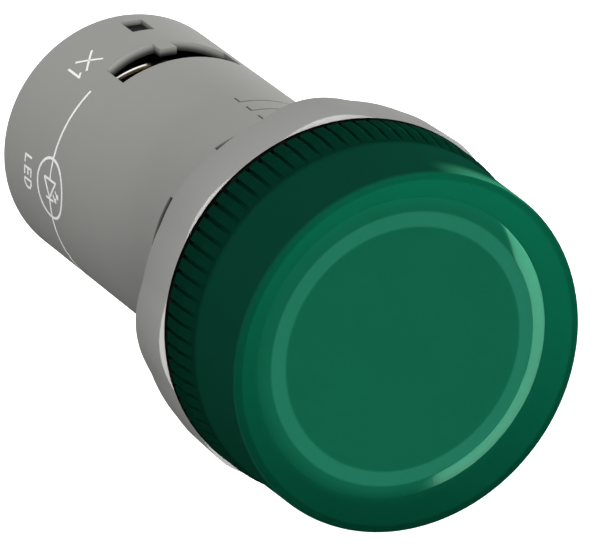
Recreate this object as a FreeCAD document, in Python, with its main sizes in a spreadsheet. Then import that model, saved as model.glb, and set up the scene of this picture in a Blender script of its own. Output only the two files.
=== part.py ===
import FreeCAD, Part
import os

import Sketcher

# Panel pilot light with a built-in LED, for a 22 mm panel hole.
# The axis lies along Y and the lens faces -Y. The origin is on the axis, at the face
# where the panel's front seats: everything in front of the panel has a negative Y.

SIZES = {
    # Barrel and flange of the housing
    "barrel_radius": 10.9,
    "barrel_length": 43.1,
    "barrel_draft": 0.25,
    "front_wall": 1.5,
    "rear_wall": 0.7,
    "barrel_edge_round": 0.25,
    "flange_step": 2.3,
    "flange_thickness": 4.1,
    # Thread flank and relief steps on the barrel
    "thread_depth": 0.55,
    "thread_groove_width": 0.18,
    "thread_start_length": 1.05,
    "thread_start_sweep": 1,
    "thread_pitch": 2.25,
    "thread_turns": 5,
    "thread_rear_place": 18.9,
    "thread_half_angle": 91.5,
    "relief_depth": 0.5,
    "relief_rear_place": 13.0,
    "relief_length": 1.6,
    "relief_upper_angle": 118.3,
    "relief_upper_sweep": 25,
    "relief_lower_angle": 146,
    "relief_lower_sweep": 36,
    # Lens
    "front_height": 11.8,
    "lens_wall": 1.1,
    "lens_rim_width": 0.35,
    "lens_rim_round": 0.3,
    "lens_clearance": 0.3,
    "dish_border": 2.4,
    "dish_depth": 1.2,
    "bevel_width": 1.1,
    "bevel_rise": 0.2,
    "light_ring_width": 1.2,
    "disc_rise": 0.03,
    "window_wall": 1.6,
    "grip_step": 0.18,
    "rib_height": 0.34,
    "rib_width": 0.84,
    "rib_length": 4.1,
    "rib_ramp": 2.0,
    "rib_count": 80,
    "lens_bead_reach": 0.3,
    "lens_bead_thickness": 0.4,
    "lens_bead_gap": 0.2,
    # Rubber pieces
    "gasket_edge": 0.05,
    "gasket_thickness": 0.9,
    "gasket_lip_thickness": 0.4,
    "seal_section_radius": 0.6,
    "seal_side_gap": 0.1,
    # Fixing nut
    "nut_wall": 4.19,
    "nut_length": 4.7,
    "nut_corner_count": 4,
    "nut_corner_front_rise": 0.38,
    "nut_corner_front_angle": 11,
    "nut_corner_rear_rise": 0.47,
    "nut_corner_rear_angle": 14,
    "nut_small_front_rise": 0.42,
    "nut_small_rear_rise": 0.24,
    "nut_small_angle": 10,
    "nut_corner_root": 0.6,
    "nut_chamfer": 0.13,
    "nut_turn": 0.5,
    # Light parts
    "diffuser_web": 1.0,
    "diffuser_web_share": 0.4,
    "holder_wall": 0.6,
    "holder_floor": 1.2,
    "holder_floor_place": 1.5,
    "led_radius": 2.5,
    "led_rim_radius": 2.9,
    "led_rim_thickness": 1.0,
    "led_gap": 0.67,
    "led_lead_radius": 0.3,
    "led_lead_length": 4.4,
    # Circuit board and what it carries
    "board_edge_gap": 0.25,
    "board_thickness": 1.6,
    "board_front_place": 3.7,
    "rail_width": 1.0,
    "rail_height": 0.9,
    "rail_gap": 0.1,
    "resistor_radius": 1.15,
    "resistor_length": 6.3,
    "resistor_wire_radius": 0.25,
    "resistor_wire_span": 9.6,
    "resistor_offset": 5.4,
    "resistor_place": 13.0,
    "rectifier_width": 4.8,
    "rectifier_length": 6.4,
    "rectifier_height": 2.6,
    "rectifier_place": 12.5,
    "rectifier_leg": 0.5,
    "rectifier_leg_reach": 0.7,
    "capacitor_radius": 2.5,
    "capacitor_length": 11.0,
    "capacitor_offset": 3.6,
    "varistor_radius": 3.5,
    "varistor_thickness": 1.9,
    "varistor_inset": 4.55,
    "varistor_place": 13.0,
    "part_standoff": 0.05,
    # Wire entries and terminals
    "entry_from_rear": 12.4,
    "entry_length": 4.45,
    "entry_half_width": 5.28,
    "entry_ledge_depth": 1.23,
    "entry_rear_rake": 35,
    "entry_tongue_half_width": 0.75,
    "entry_tongue_length": 1.6,
    "contact_thickness": 1.0,
    "contact_half_width": 5.6,
    "contact_inset": 0.3,
    "contact_boss_radius": 2.3,
    "contact_boss_length": 1.6,
    "clamp_thickness": 0.8,
    "clamp_half_width": 5.0,
    "clamp_inset": 0.9,
    "clamp_edge_gap": 0.4,
    "clamp_hole_gap": 0.15,
    "terminal_inset": 0.25,
    "screw_radius": 1.45,
    "screw_thread_gap": 0.05,
    "screw_tip_depth": 2.2,
    "screw_head_radius": 2.75,
    "screw_head_height": 1.8,
    "screw_slot_width": 0.7,
    "screw_slot_depth": 1.0,
    "screw_slot_length": 3.6,
    "lead_radius": 0.4,
    "lead_offset": 4.6,
    "lead_length": 6.0,
    # Terminal block and rear cover
    "block_rim_thickness": 0.75,
    "block_thickness": 2.3,
    "partition_thickness": 1.6,
    "boss_pocket_gap": 0.1,
    "window_from_rear": 4.5,
    "window_length": 2.65,
    "window_half_width": 0.97,
    "driver_gap": 0.9,
    "driver_hole_radius": 2.3,
    "driver_tube_wall": 1.0,
    "cover_recess": 0.3,
    "cover_plate": 1.5,
    "cover_skirt": 1.1,
    "latch_reach": 0.25,
    "latch_side_gap": 0.15,
    # Clearances shared by fitted pieces
    "slide_gap": 0.08,
    "insert_gap": 0.1,
    "seat_gap": 0.03,
}

doc = FreeCAD.newDocument("pilot_light")
sheet = doc.addObject("Spreadsheet::Sheet", "sizes")
for row, (alias, value) in enumerate(SIZES.items(), start=1):
    sheet.set(f"A{row}", str(value))
    sheet.setAlias(f"A{row}", alias)
doc.recompute()

# Radii, from the axis outwards, and places along the axis that follow from the sizes
FRONT_BORE = "(sizes.barrel_radius - sizes.front_wall)"
REAR_BORE = "(sizes.barrel_radius - sizes.rear_wall)"
INSERT_RADIUS = f"({REAR_BORE} - sizes.insert_gap)"
HOLDER_RADIUS = f"({FRONT_BORE} - sizes.insert_gap)"
SLIDE_BORE = "(sizes.barrel_radius + sizes.slide_gap)"
FLANGE_RADIUS = "(sizes.barrel_radius + sizes.flange_step)"
LENS_BORE = f"({FLANGE_RADIUS} + sizes.lens_clearance)"
LENS_RADIUS = f"({LENS_BORE} + sizes.lens_wall)"
DISH_RADIUS = f"({LENS_RADIUS} - sizes.dish_border)"
BEVEL_RADIUS = f"({DISH_RADIUS} - sizes.bevel_width)"
DISC_RADIUS = f"({BEVEL_RADIUS} - sizes.light_ring_width)"
GRIP_ROOT = f"({LENS_RADIUS} + sizes.grip_step)"
BEAD_RADIUS = f"({FLANGE_RADIUS} - sizes.lens_bead_reach)"
SEAL_GROOVE = f"({LENS_BORE} - 2 * sizes.seal_section_radius - 2 * sizes.seat_gap)"
GASKET_HUB = f"({BEAD_RADIUS} - sizes.lens_bead_gap)"
GASKET_RADIUS = f"({GRIP_ROOT} + sizes.rib_height + sizes.gasket_edge)"
NUT_RADIUS = f"({SLIDE_BORE} + sizes.nut_wall)"
PAST_SURFACE = "(sizes.barrel_radius + sizes.front_wall)"

FLANGE_REAR = "-sizes.gasket_thickness"
FLANGE_FRONT = "-(sizes.gasket_thickness + sizes.flange_thickness)"
FLANGE_MIDDLE = "-(sizes.gasket_thickness + sizes.flange_thickness / 2)"
LENS_REAR = "-(sizes.gasket_lip_thickness + sizes.seat_gap)"
LENS_CENTRE = "-(sizes.front_height - sizes.dish_depth + sizes.bevel_rise + sizes.disc_rise)"
LENS_INNER = f"({LENS_CENTRE} + sizes.window_wall)"
DIFFUSER_FRONT = f"({LENS_INNER} + sizes.seat_gap)"
DIFFUSER_REAR = f"({FLANGE_FRONT} - sizes.seat_gap)"
WEB_FRONT = f"({DIFFUSER_FRONT} + sizes.diffuser_web_share * ({DIFFUSER_REAR} - {DIFFUSER_FRONT}))"
WEB_REAR = f"({WEB_FRONT} + sizes.diffuser_web)"
LED_CENTRE = f"({WEB_REAR} + sizes.led_gap + sizes.led_radius)"
ENTRY_PLACE = "(sizes.barrel_length - sizes.entry_from_rear)"
WINDOW_PLACE = "(sizes.barrel_length - sizes.window_from_rear)"
BLOCK_REAR = f"({ENTRY_PLACE} - sizes.contact_thickness)"
BLOCK_FRONT = f"({BLOCK_REAR} - sizes.block_thickness)"
SHOULDER = f"({BLOCK_REAR} - sizes.block_rim_thickness - sizes.seat_gap)"
CLAMP_FRONT = f"({ENTRY_PLACE} + sizes.entry_length + sizes.seat_gap)"
HEAD_FRONT = f"({CLAMP_FRONT} + sizes.clamp_thickness + sizes.seat_gap)"
COVER_FRONT = f"({HEAD_FRONT} + sizes.screw_head_height + sizes.driver_gap)"
COVER_REAR = "(sizes.barrel_length - sizes.cover_recess)"
LEAD_START = f"({BLOCK_REAR} - sizes.lead_length - sizes.part_standoff / 2)"

BOARD_HALF_WIDTH = f"({FRONT_BORE} - sizes.board_edge_gap)"
BOARD_LENGTH = f"({BLOCK_FRONT} - sizes.board_front_place)"
BOARD_TOP = "(sizes.board_thickness / 2)"
LEAD_HEIGHT = f"({BOARD_TOP} + sizes.lead_radius + sizes.part_standoff)"
CONTACT_EDGE = "(sizes.partition_thickness / 2 + sizes.insert_gap)"
TERMINAL_OFFSET = (
    f"(({INSERT_RADIUS} + sizes.partition_thickness / 2) / 2 - sizes.terminal_inset)"
)

TINY = 1e-6

finished = []


def value_of(expression):
    """The number that an expression of the sheet has now."""
    result = sheet.evalExpression(expression)
    return float(getattr(result, "Value", result))


def new_body(label):
    body = doc.addObject("PartDesign::Body", label)
    body.Label = label
    finished.append(body)
    return body


def origin_item(body, role):
    for item in body.Origin.OriginFeatures:
        if item.Role == role:
            return item
    raise RuntimeError(f"{body.Label} has no {role}")


def new_sketch(body, name, plane="XY_Plane", offset=None, turn=None):
    """A sketch on an origin plane of the body, moved along its normal or turned about Y."""
    sketch = body.newObject("Sketcher::SketchObject", name)
    sketch.AttachmentSupport = [(origin_item(body, plane), "")]
    sketch.MapMode = "FlatFace"
    if turn is not None:
        sketch.AttachmentOffset = FreeCAD.Placement(
            FreeCAD.Vector(0, 0, 0), FreeCAD.Rotation(FreeCAD.Vector(0, 1, 0), 0)
        )
        sketch.setExpression("AttachmentOffset.Rotation.Angle", turn)
    if offset is not None:
        sketch.setExpression("AttachmentOffset.Base.z", offset)
    return sketch


def across_sketch(body, name, place):
    """A sketch square to the light's axis, where x is X, y is Z and place is its Y."""
    return new_sketch(body, name, "XZ_Plane", f"-({place})")


def pin_point(sketch, index, end, x_size, y_size):
    """Ties one point of a sketch to two expressions of the sheet."""
    for kind, size in (("DistanceX", x_size), ("DistanceY", y_size)):
        number = sketch.addConstraint(
            Sketcher.Constraint(kind, -1, 1, index, end, value_of(size))
        )
        sketch.setExpression(f"Constraints[{number}]", size)


def draw_outline(sketch, points):
    """A closed outline of straight lines through points given as expressions."""
    first = sketch.GeometryCount
    corners = []
    for x_size, y_size in points:
        corners.append(FreeCAD.Vector(value_of(x_size), value_of(y_size), 0))
    count = len(points)
    for step in range(count):
        line = Part.LineSegment(corners[step], corners[(step + 1) % count])
        sketch.addGeometry(line, False)
    for step in range(count):
        following = first + (step + 1) % count
        sketch.addConstraint(Sketcher.Constraint("Coincident", first + step, 2, following, 1))
    for step, (x_size, y_size) in enumerate(points):
        pin_point(sketch, first + step, 1, x_size, y_size)


def draw_circle(sketch, x_size, y_size, radius):
    centre = FreeCAD.Vector(value_of(x_size), value_of(y_size), 0)
    circle = Part.Circle(centre, FreeCAD.Vector(0, 0, 1), value_of(radius))
    index = sketch.addGeometry(circle, False)
    pin_point(sketch, index, 3, x_size, y_size)
    number = sketch.addConstraint(Sketcher.Constraint("Radius", index, value_of(radius)))
    sketch.setExpression(f"Constraints[{number}]", radius)


def rectangle(left, right, low, high):
    return [(left, low), (right, low), (right, high), (left, high)]


def revolve(body, name, points):
    """A full turn of an outline of (radius, place) points about the light's axis."""
    sketch = new_sketch(body, f"{name}_outline")
    draw_outline(sketch, points)
    turned = body.newObject("PartDesign::Revolution", name)
    turned.Profile = sketch
    turned.ReferenceAxis = (sketch, ["V_Axis"])
    turned.Angle = 360
    return turned


def pad_back(body, name, sketch, length):
    """Adds material from a sketch across the axis, towards the rear."""
    pad = body.newObject("PartDesign::Pad", name)
    pad.Profile = sketch
    pad.Reversed = True
    pad.setExpression("Length", length)
    return pad


def pocket_back(body, name, sketch, length):
    """Cuts from a sketch across the axis, towards the rear, and checks that it cut."""
    doc.recompute()
    before = body.Shape.Volume
    pocket = body.newObject("PartDesign::Pocket", name)
    pocket.Profile = sketch
    pocket.setExpression("Length", length)
    doc.recompute()
    if pocket.Shape.Volume >= before:
        raise RuntimeError(f"{name} cuts nothing")
    return pocket


def round_edge(body, name, radius, place, size):
    """A round on the circular edge that has this radius and place."""
    doc.recompute()
    base = body.Tip
    names = []
    for number, edge in enumerate(base.Shape.Edges, start=1):
        curve = edge.Curve
        if isinstance(curve, Part.Circle) and abs(curve.Center.y - value_of(place)) < TINY:
            if abs(curve.Radius - value_of(radius)) < TINY:
                names.append(f"Edge{number}")
    if not names:
        raise RuntimeError(f"{name} finds no edge")
    fillet = body.newObject("PartDesign::Fillet", name)
    fillet.Base = (base, names)
    fillet.setExpression("Radius", size)


def keep(item, label):
    """Marks a finished sub-part, whose label names its file."""
    item.Label = label
    finished.append(item)
    return item


def box(name, low, size):
    """A Part box from its low corner and size, each given as expressions."""
    item = doc.addObject("Part::Box", name)
    for part, amount in zip(("Length", "Width", "Height"), size):
        item.setExpression(part, amount)
    for part, amount in zip("xyz", low):
        item.setExpression(f"Placement.Base.{part}", amount)
    return item


def rod(name, radius, length, at, along="Y"):
    """A Part cylinder that starts at a point and runs along +X, +Y or +Z."""
    turns = {
        "X": FreeCAD.Rotation(FreeCAD.Vector(0, 1, 0), 90),
        "Y": FreeCAD.Rotation(FreeCAD.Vector(1, 0, 0), -90),
        "Z": FreeCAD.Rotation(),
    }
    item = doc.addObject("Part::Cylinder", name)
    item.Placement = FreeCAD.Placement(FreeCAD.Vector(0, 0, 0), turns[along])
    item.setExpression("Radius", radius)
    item.setExpression("Height", length)
    for part, amount in zip("xyz", at):
        item.setExpression(f"Placement.Base.{part}", amount)
    return item


def combine(kind, name, first, second):
    item = doc.addObject(f"Part::{kind}", name)
    item.Base = first
    item.Tool = second
    return item


def join(name, items):
    item = doc.addObject("Part::MultiFuse", name)
    item.Shapes = items
    return item


# Housing: barrel, front flange with the seal's groove, two bores with a shoulder between

def make_housing():
    body = new_body("housing")
    groove_front = f"({FLANGE_MIDDLE} - sizes.seal_section_radius - sizes.seal_side_gap)"
    groove_rear = f"({FLANGE_MIDDLE} + sizes.seal_section_radius + sizes.seal_side_gap)"
    revolve(body, "barrel", [
        (FRONT_BORE, FLANGE_FRONT),
        (FLANGE_RADIUS, FLANGE_FRONT),
        (FLANGE_RADIUS, groove_front),
        (SEAL_GROOVE, groove_front),
        (SEAL_GROOVE, groove_rear),
        (FLANGE_RADIUS, groove_rear),
        (FLANGE_RADIUS, FLANGE_REAR),
        ("(sizes.barrel_radius - sizes.barrel_draft)", FLANGE_REAR),
        ("sizes.barrel_radius", "sizes.barrel_length"),
        (REAR_BORE, "sizes.barrel_length"),
        (REAR_BORE, SHOULDER),
        (FRONT_BORE, SHOULDER),
    ])
    round_edge(
        body, "rear_round", "sizes.barrel_radius", "sizes.barrel_length",
        "sizes.barrel_edge_round",
    )
    cut_wire_entries(body)
    cut_latch_windows(body)
    cut_thread_flank(body)
    cut_relief(body, "relief_upper", "sizes.relief_upper_angle", "sizes.relief_upper_sweep", False)
    cut_relief(body, "relief_lower", "sizes.relief_lower_angle", "sizes.relief_lower_sweep", True)
    add_board_rails(body)


def entry_outline(height):
    """The wire entry seen from above: a slot with a tongue that parts two wires."""
    front = ENTRY_PLACE
    end = f"({front} + sizes.entry_length)"
    rear = f"({end} + ({height} - sizes.barrel_radius) * tan(sizes.entry_rear_rake))"
    tongue = f"({end} - sizes.entry_tongue_length)"
    return [
        ("-sizes.entry_half_width", front),
        ("sizes.entry_half_width", front),
        ("sizes.entry_half_width", rear),
        ("sizes.entry_tongue_half_width", rear),
        ("sizes.entry_tongue_half_width", tongue),
        ("-sizes.entry_tongue_half_width", tongue),
        ("-sizes.entry_tongue_half_width", rear),
        ("-sizes.entry_half_width", rear),
    ]


def cut_wire_entries(body):
    """Entries cut flat through the wall, with raked rear edges, above and mirrored below."""
    floor = f"({REAR_BORE} - sizes.entry_ledge_depth)"
    inner = new_sketch(body, "entry_inner", offset=floor)
    draw_outline(inner, entry_outline(floor))
    outer = new_sketch(body, "entry_outer", offset=PAST_SURFACE)
    draw_outline(outer, entry_outline(PAST_SURFACE))
    doc.recompute()
    before = body.Shape.Volume
    cut = body.newObject("PartDesign::SubtractiveLoft", "wire_entry")
    cut.Profile = inner
    cut.Sections = [outer]
    cut.Ruled = True
    doc.recompute()
    if cut.Shape.Volume >= before:
        raise RuntimeError("the wire entry cuts nothing")
    mirror = body.newObject("PartDesign::Mirrored", "wire_entries")
    mirror.Originals = [cut]
    mirror.MirrorPlane = (origin_item(body, "XY_Plane"), [""])
    body.Tip = mirror


def cut_latch_windows(body):
    """Square windows above and below, into which the rear cover's latches snap."""
    sketch = new_sketch(body, "window_outline")
    draw_outline(sketch, rectangle(
        "-sizes.window_half_width",
        "sizes.window_half_width",
        WINDOW_PLACE,
        f"{WINDOW_PLACE} + sizes.window_length",
    ))
    doc.recompute()
    before = body.Shape.Volume
    pocket = body.newObject("PartDesign::Pocket", "latch_windows")
    pocket.Profile = sketch
    pocket.SideType = "Symmetric"
    pocket.setExpression("Length", f"4 * {PAST_SURFACE}")
    doc.recompute()
    if pocket.Shape.Volume >= before:
        raise RuntimeError("the latch windows cut nothing")


def cut_partly_round(body, name, outlines, start, sweep, reverse=False):
    """Outlines cut into the barrel from one angle on, for part of a turn."""
    sketch = new_sketch(body, f"{name}_outline", turn=f"-({start})")
    for outline in outlines:
        draw_outline(sketch, outline)
    doc.recompute()
    before = body.Shape.Volume
    groove = body.newObject("PartDesign::Groove", name)
    groove.Profile = sketch
    groove.ReferenceAxis = (sketch, ["V_Axis"])
    groove.Reversed = reverse
    groove.setExpression("Angle", sweep)
    doc.recompute()
    if groove.Shape.Volume >= before:
        raise RuntimeError(f"{name} cuts nothing")


def cut_thread_flank(body):
    """Turns of the nut's thread on the right flank, each with a step where it starts."""
    bottom = "(sizes.barrel_radius - sizes.thread_depth)"
    top = "(sizes.barrel_radius + sizes.thread_depth)"
    turns = []
    starts = []
    for turn in range(int(value_of("sizes.thread_turns"))):
        middle = f"(sizes.thread_rear_place - {turn} * sizes.thread_pitch)"
        side = "sizes.thread_groove_width / 2"
        turns.append(rectangle(bottom, top, f"{middle} - {side}", f"{middle} + {side}"))
        starts.append(rectangle(bottom, top, middle, f"{middle} + sizes.thread_start_length"))
    start = "sizes.thread_half_angle"
    cut_partly_round(body, "thread_flank", turns, start, f"2 * {start}")
    cut_partly_round(body, "thread_starts", starts, start, "sizes.thread_start_sweep")


def cut_relief(body, name, start, sweep, reverse):
    """A shallow step round part of the left flank, which ends square at the smooth sector."""
    outline = rectangle(
        "sizes.barrel_radius - sizes.relief_depth",
        "sizes.barrel_radius + sizes.relief_depth",
        "sizes.relief_rear_place - sizes.relief_length",
        "sizes.relief_rear_place",
    )
    cut_partly_round(body, name, [outline], start, sweep, reverse)


def add_board_rails(body):
    """Four rails in the front bore that hold the circuit board by its edges."""
    sketch = across_sketch(body, "rail_outlines", "sizes.board_front_place")
    inner = f"({BOARD_HALF_WIDTH} - sizes.rail_width)"
    outer = f"({FRONT_BORE} + sizes.front_wall / 3)"
    low = f"({BOARD_TOP} + sizes.rail_gap)"
    high = f"({low} + sizes.rail_height)"
    draw_outline(sketch, rectangle(inner, outer, low, high))
    draw_outline(sketch, rectangle(f"-{outer}", f"-{inner}", low, high))
    draw_outline(sketch, rectangle(inner, outer, f"-{high}", f"-{low}"))
    draw_outline(sketch, rectangle(f"-{outer}", f"-{inner}", f"-{high}", f"-{low}"))
    pad_back(body, "board_rails", sketch, BOARD_LENGTH)


# Lens: a cup with a dished front, a bead that snaps behind the flange and a ribbed grip

def make_lens():
    body = new_body("lens")
    bead_front = f"({LENS_REAR} - sizes.lens_bead_thickness)"
    rib_front = f"({LENS_REAR} - sizes.rib_length)"
    revolve(body, "cup", [
        ("0", LENS_CENTRE),
        (DISC_RADIUS, LENS_CENTRE),
        (BEVEL_RADIUS, f"{LENS_CENTRE} + sizes.disc_rise"),
        (DISH_RADIUS, "-(sizes.front_height - sizes.dish_depth)"),
        (f"{LENS_RADIUS} - sizes.lens_rim_width - sizes.lens_rim_round", "-sizes.front_height"),
        (LENS_RADIUS, "-sizes.front_height"),
        (GRIP_ROOT, rib_front),
        (GRIP_ROOT, LENS_REAR),
        (BEAD_RADIUS, LENS_REAR),
        (BEAD_RADIUS, bead_front),
        (LENS_BORE, bead_front),
        (LENS_BORE, LENS_INNER),
        ("0", LENS_INNER),
    ])
    round_edge(body, "rim_round", LENS_RADIUS, "-sizes.front_height", "sizes.lens_rim_round")
    add_grip_ribs(body, rib_front)


def add_grip_ribs(body, rib_front):
    """Narrow ribs round the lens's skirt, which slope down to it in front."""
    tip = f"({GRIP_ROOT} + sizes.rib_height)"
    root = f"({GRIP_ROOT} - sizes.rib_height)"
    sketch = new_sketch(body, "rib_outline")
    draw_outline(sketch, [
        (root, LENS_REAR),
        (tip, LENS_REAR),
        (tip, f"{rib_front} + sizes.rib_ramp"),
        (GRIP_ROOT, rib_front),
        (root, rib_front),
    ])
    rib = body.newObject("PartDesign::Pad", "rib")
    rib.Profile = sketch
    rib.SideType = "Symmetric"
    rib.setExpression("Length", "sizes.rib_width")
    ribs = body.newObject("PartDesign::PolarPattern", "ribs")
    ribs.Originals = [rib]
    ribs.Axis = (origin_item(body, "Y_Axis"), [""])
    ribs.Angle = 360
    ribs.setExpression("Occurrences", "sizes.rib_count")
    body.Tip = ribs


# Rubber pieces: the gasket that seats on the panel and the lens's seal ring

def make_gasket():
    body = new_body("panel_gasket")
    revolve(body, "ring", [
        (SLIDE_BORE, f"{FLANGE_REAR} + sizes.seat_gap"),
        (GASKET_HUB, f"{FLANGE_REAR} + sizes.seat_gap"),
        (GASKET_HUB, "-sizes.gasket_lip_thickness"),
        (GASKET_RADIUS, "-sizes.gasket_lip_thickness"),
        (GASKET_RADIUS, "0"),
        (SLIDE_BORE, "0"),
    ])


def make_lens_seal():
    ring = doc.addObject("Part::Torus", "seal_ring")
    ring.Placement = FreeCAD.Placement(
        FreeCAD.Vector(0, 0, 0), FreeCAD.Rotation(FreeCAD.Vector(1, 0, 0), 90)
    )
    ring.setExpression("Radius1", f"{LENS_BORE} - sizes.seal_section_radius - sizes.seat_gap")
    ring.setExpression("Radius2", "sizes.seal_section_radius")
    ring.setExpression("Placement.Base.y", FLANGE_MIDDLE)
    keep(ring, "lens_seal")


# Fixing nut: a ring with raised corners that widen towards the rear

def corner_outline(rise, half_angle):
    """A corner whose two flats leave the nut's round at this angle and run on inside it."""
    corner = f"({NUT_RADIUS} + {rise})"
    aside = f"({NUT_RADIUS} * sin({half_angle}))"
    stretch = "(1 + sizes.nut_corner_root)"
    along = f"({corner} - {stretch} * ({corner} - {NUT_RADIUS} * cos({half_angle})))"
    return [(corner, "0"), (along, f"{stretch} * {aside}"), (along, f"-{stretch} * {aside}")]


def add_nut_corners(body, name, front_size, rear_size, turn):
    """Corners given by their rise and half angle at the nut's front and at its rear."""
    front = across_sketch(body, f"{name}_front", "sizes.seat_gap")
    rear = across_sketch(body, f"{name}_rear", "sizes.nut_length")
    for sketch, (rise, half_angle) in ((front, front_size), (rear, rear_size)):
        sketch.setExpression("AttachmentOffset.Rotation.Angle", turn)
        draw_outline(sketch, corner_outline(rise, half_angle))
    loft = body.newObject("PartDesign::AdditiveLoft", name)
    loft.Profile = front
    loft.Sections = [rear]
    loft.Ruled = True
    ring = body.newObject("PartDesign::PolarPattern", f"{name}s")
    ring.Originals = [loft]
    ring.Axis = (origin_item(body, "Y_Axis"), [""])
    ring.Angle = 360
    ring.setExpression("Occurrences", "sizes.nut_corner_count")
    body.Tip = ring


def make_fixing_nut():
    body = new_body("fixing_nut")
    revolve(body, "ring", [
        (SLIDE_BORE, "sizes.seat_gap"),
        (NUT_RADIUS, "sizes.seat_gap"),
        (NUT_RADIUS, "sizes.nut_length"),
        (SLIDE_BORE, "sizes.nut_length"),
    ])
    add_nut_corners(
        body,
        "corner",
        ("sizes.nut_corner_front_rise", "sizes.nut_corner_front_angle"),
        ("sizes.nut_corner_rear_rise", "sizes.nut_corner_rear_angle"),
        "sizes.nut_turn",
    )
    add_nut_corners(
        body,
        "small_corner",
        ("sizes.nut_small_front_rise", "sizes.nut_small_angle"),
        ("sizes.nut_small_rear_rise", "sizes.nut_small_angle"),
        "sizes.nut_turn + 180 / sizes.nut_corner_count",
    )
    start = f"({NUT_RADIUS} - sizes.nut_chamfer)"
    depth = "(2 * (sizes.nut_chamfer + sizes.nut_corner_rear_rise))"
    sketch = new_sketch(body, "chamfer_outline")
    draw_outline(sketch, [
        (start, "sizes.seat_gap"),
        (f"{start} + {depth}", f"sizes.seat_gap + {depth}"),
        (f"{start} + {depth}", f"sizes.seat_gap - {depth}"),
        (start, f"sizes.seat_gap - {depth}"),
    ])
    doc.recompute()
    before = body.Shape.Volume
    chamfer = body.newObject("PartDesign::Groove", "front_chamfer")
    chamfer.Profile = sketch
    chamfer.ReferenceAxis = (sketch, ["V_Axis"])
    chamfer.Angle = 360
    doc.recompute()
    if chamfer.Shape.Volume >= before:
        raise RuntimeError("the nut's chamfer cuts nothing")


# Light parts: milky diffuser, white LED holder, LED and its two leads

def make_diffuser():
    body = new_body("diffuser")
    revolve(body, "cup", [
        ("0", WEB_FRONT),
        (DISC_RADIUS, WEB_FRONT),
        (DISC_RADIUS, DIFFUSER_FRONT),
        (BEVEL_RADIUS, DIFFUSER_FRONT),
        (BEVEL_RADIUS, DIFFUSER_REAR),
        (DISC_RADIUS, DIFFUSER_REAR),
        (DISC_RADIUS, WEB_REAR),
        ("0", WEB_REAR),
    ])


def make_led_holder():
    body = new_body("led_holder")
    hole = "(sizes.led_radius + sizes.insert_gap)"
    revolve(body, "funnel", [
        (hole, "sizes.holder_floor_place - sizes.holder_floor"),
        (f"{HOLDER_RADIUS} - sizes.holder_wall", FLANGE_FRONT),
        (HOLDER_RADIUS, FLANGE_FRONT),
        (HOLDER_RADIUS, "sizes.holder_floor_place"),
        (hole, "sizes.holder_floor_place"),
    ])


def make_led():
    rim_front = "(sizes.holder_floor_place + sizes.seat_gap)"
    shaft = rod(
        "led_shaft", "sizes.led_radius", f"{rim_front} - {LED_CENTRE}", ("0", LED_CENTRE, "0"),
    )
    rim = rod("led_rim", "sizes.led_rim_radius", "sizes.led_rim_thickness", ("0", rim_front, "0"))
    dome = doc.addObject("Part::Sphere", "led_dome")
    dome.setExpression("Radius", "sizes.led_radius")
    dome.setExpression("Placement.Base.y", LED_CENTRE)
    keep(join("led_lamp", [shaft, rim, dome]), "led")

    start = f"({rim_front} + sizes.led_rim_thickness)"
    height = f"({BOARD_TOP} + sizes.led_lead_radius + sizes.part_standoff / 2)"
    wires = []
    for name, side in (("led_wire_upper", 1), ("led_wire_lower", -1)):
        at = ("0", start, f"{side} * {height}")
        wires.append(rod(name, "sizes.led_lead_radius", "sizes.led_lead_length", at))
    pair = doc.addObject("Part::Compound", "led_wires")
    pair.Links = wires
    keep(pair, "led_leads")


# Circuit board and the parts that it carries

def make_board():
    board = box(
        "board_plate",
        (f"-{BOARD_HALF_WIDTH}", "sizes.board_front_place", f"-{BOARD_TOP}"),
        (f"2 * {BOARD_HALF_WIDTH}", BOARD_LENGTH, "sizes.board_thickness"),
    )
    keep(board, "circuit_board")


def make_resistor(label, side):
    """A round body on a wire that bends down to the board at both ends."""
    middle = f"({side} * sizes.resistor_offset)"
    axis_height = f"({BOARD_TOP} + sizes.resistor_radius + sizes.part_standoff)"
    body_start = "sizes.resistor_place - sizes.resistor_length / 2"
    wire_start = "sizes.resistor_place - sizes.resistor_wire_span / 2"
    wire_end = "sizes.resistor_place + sizes.resistor_wire_span / 2"
    foot = f"({BOARD_TOP} + sizes.part_standoff / 2)"
    pieces = [
        rod(f"{label}_core", "sizes.resistor_radius", "sizes.resistor_length",
            (middle, body_start, axis_height)),
        rod(f"{label}_wire", "sizes.resistor_wire_radius", "sizes.resistor_wire_span",
            (middle, wire_start, axis_height)),
    ]
    for number, place in enumerate((wire_start, wire_end), start=1):
        pieces.append(rod(
            f"{label}_leg_{number}", "sizes.resistor_wire_radius",
            f"{axis_height} + sizes.resistor_wire_radius - {foot}", (middle, place, foot), "Z",
        ))
    keep(join(f"{label}_solid", pieces), label)


def make_rectifier():
    """A small four-legged bridge in the middle of the board's upper face."""
    base = f"({BOARD_TOP} + sizes.part_standoff)"
    pieces = [box(
        "rectifier_case",
        ("-sizes.rectifier_width / 2", "sizes.rectifier_place - sizes.rectifier_length / 2", base),
        ("sizes.rectifier_width", "sizes.rectifier_length", "sizes.rectifier_height"),
    )]
    for side in (-1, 1):
        for end in (-1, 1):
            inner = f"{side} * (sizes.rectifier_width / 2 + sizes.rectifier_leg_reach / 2)"
            pieces.append(box(
                "rectifier_leg",
                (
                    f"{inner} - sizes.rectifier_leg_reach / 2 - sizes.part_standoff",
                    f"sizes.rectifier_place + {end} * sizes.rectifier_length / 4"
                    " - sizes.rectifier_leg / 2",
                    base,
                ),
                (
                    "sizes.rectifier_leg_reach + 2 * sizes.part_standoff",
                    "sizes.rectifier_leg",
                    "sizes.rectifier_height / 2",
                ),
            ))
    keep(join("rectifier_solid", pieces), "rectifier")


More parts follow.
